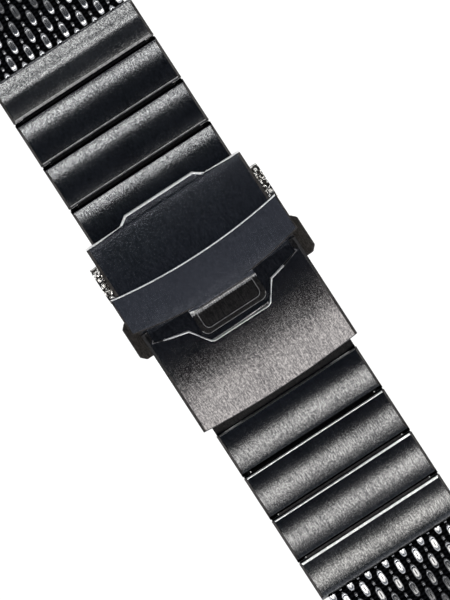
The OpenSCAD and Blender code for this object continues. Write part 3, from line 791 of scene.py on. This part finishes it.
# One turn of the wire, the angles of the points around it, which lie closer together on its upper and
# lower side, and those around a plain wire
TURN = turn_of_wire()
SECTION_DEG = (*range(-36, 37, 9), 65, 90, 115, *range(144, 217, 9), 245, 270, 295)
SECTION = [math.radians(a) for a in SECTION_DEG]
ROUND = [2 * math.pi * k / 8 for k in range(8)]


def first_crown(middle):
    """Y of a row's first crown. Every other row has one crown less, between those of the others."""
    return -(3 if middle else 3.5) * CROWN_PITCH


def crown_places(middle):
    return [first_crown(middle) + k * CROWN_PITCH for k in range(8 - middle)]


def row_path(row_x, middle, sign):
    """The wire of one row, from one side of the band to the other."""
    reach = BAND_W / 2 - WIRE_R - SIDE_GAP
    first = first_crown(middle)
    path = []
    turns = int((2 * -first) / CROWN_PITCH) + 3
    for turn in range(-1, turns):
        for x, z, share in TURN:
            y = first + (turn + share) * CROWN_PITCH
            if -reach <= y <= reach:
                path.append(Vector((row_x + sign * x, y, z)))
    return path


def up_to_one(value, full):
    """0 for a value below 0, 1 from the full value on, and even in between."""
    return min(1.0, max(0.0, value / full))


def worn_flat(v, row_x, tilt, facet, crown_y):
    """Height and brightness of a point of the wire: flat on top of the crown, with a slit along it. The
    brightness comes from wearing on the crown's flat, with painted shade lower down and in the slit.
    """
    # Painted shade: the wire is black this far below the crown's top, brightens towards the top, and is
    # darkened in the slit
    painted_shade_depth = 0.6
    wear_and_shade_depth = 0.3
    full_bright_rise = 0.22
    slit_painted_shade = 0.95
    x = v.x - row_x
    top = MESH_T - TOP_GAP - x * tilt - x * x / (2 * DISH_R)
    top -= facet * max(0.0, x - FACET_START)
    if v.z < top - painted_shade_depth:
        return v.z, 0.0
    slit = math.exp(-((v.y - crown_y) / SLIT_W) ** 2) * max(0.0, 1 - (x / SLIT_HALF) ** 4)
    z = min(v.z, top)
    wear_and_painted_light = up_to_one(z - top + wear_and_shade_depth, full_bright_rise)
    return z - SLIT_DEPTH * slit, wear_and_painted_light * (1 - slit_painted_shade * slit)


def add_tube(parts, path, radius, section, shape):
    """A round wire along the path. shape(point, middle) gives a surface point's height and its brightness,
    from wearing and painted light.
    """
    lowest = 0.005
    verts, faces, wear_and_painted_light_values = parts
    start = len(verts)
    count = len(path)
    sides = len(section)
    across = Vector((0, 1, 0))
    last = None
    for k, point in enumerate(path):
        ahead = path[min(k + 1, count - 1)] - path[max(k - 1, 0)]
        ahead.normalize()
        out = ahead.cross(across)
        if out.length < 0.2:
            out = Vector((0, 0, 1))
        out.normalize()
        if last is not None and out.dot(last) < 0:
            out = -out
        last = out
        side = ahead.cross(out)
        for a in section:
            v = point + radius * (math.cos(a) * out + math.sin(a) * side)
            z, wear_and_painted_light = shape(v, point)
            verts.append(Vector((v.x, v.y, max(z, lowest))) * MM)
            wear_and_painted_light_values.append(wear_and_painted_light)
    for k in range(count - 1):
        for s in range(sides):
            a = start + k * sides + s
            b = start + k * sides + (s + 1) % sides
            faces.append((a, b, b + sides, a + sides))
    faces.append(tuple(start + s for s in reversed(range(sides))))
    faces.append(tuple(start + (count - 1) * sides + s for s in range(sides)))


def packed_wire(x, phase):
    """A slightly waved wire from one side of the band to the other."""
    width = BAND_W / 2 - PACKED_IN
    path = []
    for k in range(PACKED_STEPS + 1):
        y = -width + 2 * width * k / PACKED_STEPS
        wave = PACKED_WAVE * math.sin(2 * math.pi * y / CROWN_PITCH + phase)
        path.append(Vector((x, y, MESH_T / 2 + wave)))
    return path


def add_row(parts, row_x, middle, sign, tilt, row_painted_light, facet):
    """One row: its spiral, the wires packed inside it, and the small arches between its crowns."""
    bright_from = FACET_START + 0.08
    arch_highlight_z = 1.95
    arch_highlight_side_x = 0.02
    places = crown_places(middle)

    def crown(v, point):
        nearest = min(places, key=lambda y: abs(y - point.y))
        z, wear_and_painted_light = worn_flat(v, row_x, tilt * sign, facet, nearest)
        # Painted highlight: the crown's facet towards the clasp is at full brightness, the rest at the
        # row's painted brightness
        bright = facet > 0 and v.x - row_x > bright_from
        return z, wear_and_painted_light * (1.0 if bright else row_painted_light)

    def inner(v, _):
        return v.z, 0.0

    def arch(v, _):
        # Painted highlight on the arches' tops, on one side only
        high = up_to_one(v.z - arch_highlight_z, 0.2)
        return v.z, high * up_to_one(v.x - row_x + arch_highlight_side_x, 0.1)

    add_tube(parts, row_path(row_x, middle, sign), WIRE_R, SECTION, crown)
    for offset in PACKED_AT:
        add_tube(parts, packed_wire(row_x + offset, 2 * offset), PACKED_R, ROUND, inner)
    for y in crown_places(not middle):
        add_tube(parts, [Vector((row_x + x, y, z)) for x, z in BOW], BOW_R, ROUND, arch)


def cut_at(bm, x, keep_sign):
    """Cuts the wires off at a plane across the band and closes their ends."""
    cut = bmesh.ops.bisect_plane(bm, geom=whole(bm), plane_co=(x * MM, 0, 0), plane_no=(keep_sign, 0, 0),
                                 clear_inner=True)
    rim = [e for e in cut["geom_cut"] if isinstance(e, bmesh.types.BMEdge)]
    bmesh.ops.holes_fill(bm, edges=rim, sides=0)


def by_row(values, row):
    """The value for a row counted from the end link, the last one for all rows beyond."""
    return values[min(row, len(values) - 1)]


def weave_rows(side, stretch):
    """Points, faces and brightness of a stretch's wires, from wearing and painted light. The first stretch
    also has the row in the link.
    """
    sign = SIGN[side]
    parts = ([], [], [])
    first = 0 if stretch == 1 else (stretch - 1) * ROWS + 1
    for row in range(first, stretch * ROWS + 1):
        row_x = MESH_EDGE[side] + sign * (ROW_IN[side] + (row - 1) * ROW_PITCH)
        middle = row % 2 == (0 if side == "upper" else 1)
        tilt = math.tan(math.radians(by_row(ROW_TILT[side], row)))
        add_row(parts, row_x, middle, sign, tilt, by_row(ROW_PAINTED_LIGHT[side], row),
                by_row(CLASP_FACET[side], row))
    return parts


def weave(side, stretch):
    """One stretch of woven mesh, cut off inside the end link's slot and inside the lug tube's seam."""
    slot_gap = 0.01
    tube_in = 0.1
    sign, edge = SIGN[side], MESH_EDGE[side]
    verts, faces, wear_and_painted_light_values = weave_rows(side, stretch)
    mesh = bpy.data.meshes.new(f"{side}_weave_{stretch}")
    mesh.from_pydata(verts, [], faces)
    # Brightness of each point, from wearing and painted light, read by the wire's material
    wear_and_painted_light = mesh.attributes.new("wear_and_painted_light", "FLOAT", "POINT")
    wear_and_painted_light.data.foreach_set("value", wear_and_painted_light_values)
    bm = bmesh.new()
    bm.from_mesh(mesh)
    bmesh.ops.recalc_face_normals(bm, faces=bm.faces)
    if stretch == 1:
        cut_at(bm, edge - sign * (SEAM - slot_gap), sign)
    if stretch == STRETCHES:
        end = edge + sign * (ROW_IN[side] + (STRETCHES * ROWS - 0.5) * ROW_PITCH + tube_in)
        cut_at(bm, end, -sign)
    for face in bm.faces:
        face.smooth = True
    bm.to_mesh(mesh)
    bm.free()
    mesh.set_sharp_from_angle(angle=math.radians(WIRE_SHARP_FROM))
    body = f"{side}_end_link" if stretch == 1 else f"{side}_mesh_{stretch}"
    return add_piece(f"{side}_weave_{stretch}", mesh, body, [f"{side}_mesh_{stretch}"],
                     [MATERIALS["mesh_wire"]])


def dress_mesh():
    for side in SIGN:
        for stretch in range(1, STRETCHES + 1):
            weave(side, stretch)


# The other nodes

def dress_node(node, slot):
    """Gives a shown CAD node its material."""
    obj = frame["nodes"][node]
    if not obj.material_slots:
        obj.data.materials.append(MATERIALS[slot])
    for place in obj.material_slots:
        place.material = MATERIALS[slot]


def dress_others():
    pins = ["cover_bar", "flip_lock_rivets", "catch_post", "base_bar", "cover_hinge_pin", "base_hinge_pin"]
    pins += [f"{side}_pin_{i}" for side in SIGN for i in range(1, LINKS + 1)]
    slots = {
        "spring_steel": ["spring_left", "spring_right"],
        "pin_steel": pins,
        "link_steel": [f"{side}_lug_tube" for side in SIGN],
        "blade_steel": ["base_blade", "inner_blade"],
    }
    for slot, nodes in slots.items():
        for node in nodes:
            dress_node(node, slot)


# Camera, light and stage

def make_camera():
    data = bpy.data.cameras.new("camera")
    data.sensor_width = 36.0
    data.lens = data.sensor_width * VIEW_DISTANCE / VIEW_HEIGHT
    data.clip_start = 0.01
    data.clip_end = 20.0
    cam = add_object("camera", data)
    place = (VIEW_CENTRE + Vector((0, 0, VIEW_DISTANCE))) * MM
    turn = Matrix((VIEW_RIGHT, VIEW_UP, VIEW_RIGHT.cross(VIEW_UP))).transposed()
    cam.matrix_world = Matrix.Translation(place) @ turn.to_4x4()
    bpy.context.scene.camera = cam


def softbox(name, place, size, radiance, colour):
    """A lamp at a place, with its size along and across the band in millimetres."""
    data = bpy.data.lights.new(name, "AREA")
    data.shape = "RECTANGLE"
    data.size = size[0] * MM
    data.size_y = size[1] * MM
    data.energy = radiance * math.pi * data.size * data.size_y
    data.color = colour
    lamp = add_object(name, data)
    away = (Vector(place) - LAMP_AIM).normalized()
    side = Vector((0, 1, 0)).cross(away).normalized()
    turn = Matrix((side, away.cross(side), away)).transposed()
    lamp.matrix_world = Matrix.Translation(Vector(place) * MM) @ turn.to_4x4()
    lamp.visible_camera = False


def make_lights():
    softbox("cool_softbox", (-124.6, 0, 185), (20, 380), 7.0, (1.0, 0.99, 0.965))
    softbox("warm_softbox", (78.9, 0, 200), (63, 400), 3.2, (1.0, 0.965, 0.915))


def make_world():
    """Dark above, white towards the horizon, the same for every ray."""
    stops = [(0.0, (1.0, 1.0, 1.0)), (0.3, (0.9, 0.9, 0.92)), (0.62, (0.3, 0.32, 0.36)),
             (0.85, (0.06, 0.073, 0.095)), (1.0, (0.036, 0.044, 0.06))]
    world = bpy.data.worlds.new("room")
    bpy.context.scene.world = world
    world.use_nodes = True
    tree = world.node_tree
    back = tree.nodes["Background"]
    coord = tree.nodes.new("ShaderNodeTexCoord")
    split = tree.nodes.new("ShaderNodeSeparateXYZ")
    ramp = tree.nodes.new("ShaderNodeValToRGB")
    tree.links.new(coord.outputs["Generated"], split.inputs["Vector"])
    tree.links.new(split.outputs["Z"], ramp.inputs["Fac"])
    tree.links.new(ramp.outputs["Color"], back.inputs["Color"])
    while len(ramp.color_ramp.elements) < len(stops):
        ramp.color_ramp.elements.new(0.5)
    for element, (place, colour) in zip(ramp.color_ramp.elements, stops):
        element.position = place
        element.color = (*colour, 1.0)


def make_floor():
    mesh = bpy.data.meshes.new("floor")
    corners = [(-1, -1), (1, -1), (1, 1), (-1, 1)]
    verts = [(x * FLOOR_HALF * MM, y * FLOOR_HALF * MM, FLOOR_Z * MM) for x, y in corners]
    mesh.from_pydata(verts, [], [(0, 1, 2, 3)])
    mesh.materials.append(pale_floor())
    floor = add_object("floor", mesh)


make_camera()
make_lights()
make_world()
make_floor()
dress_cover()
dress_lock()
dress_links()
dress_buttons()
thumb_ridge()
dress_mesh()
dress_others()

scene = bpy.context.scene
scene.view_settings.view_transform = "Standard"
bpy.context.view_layer.update()
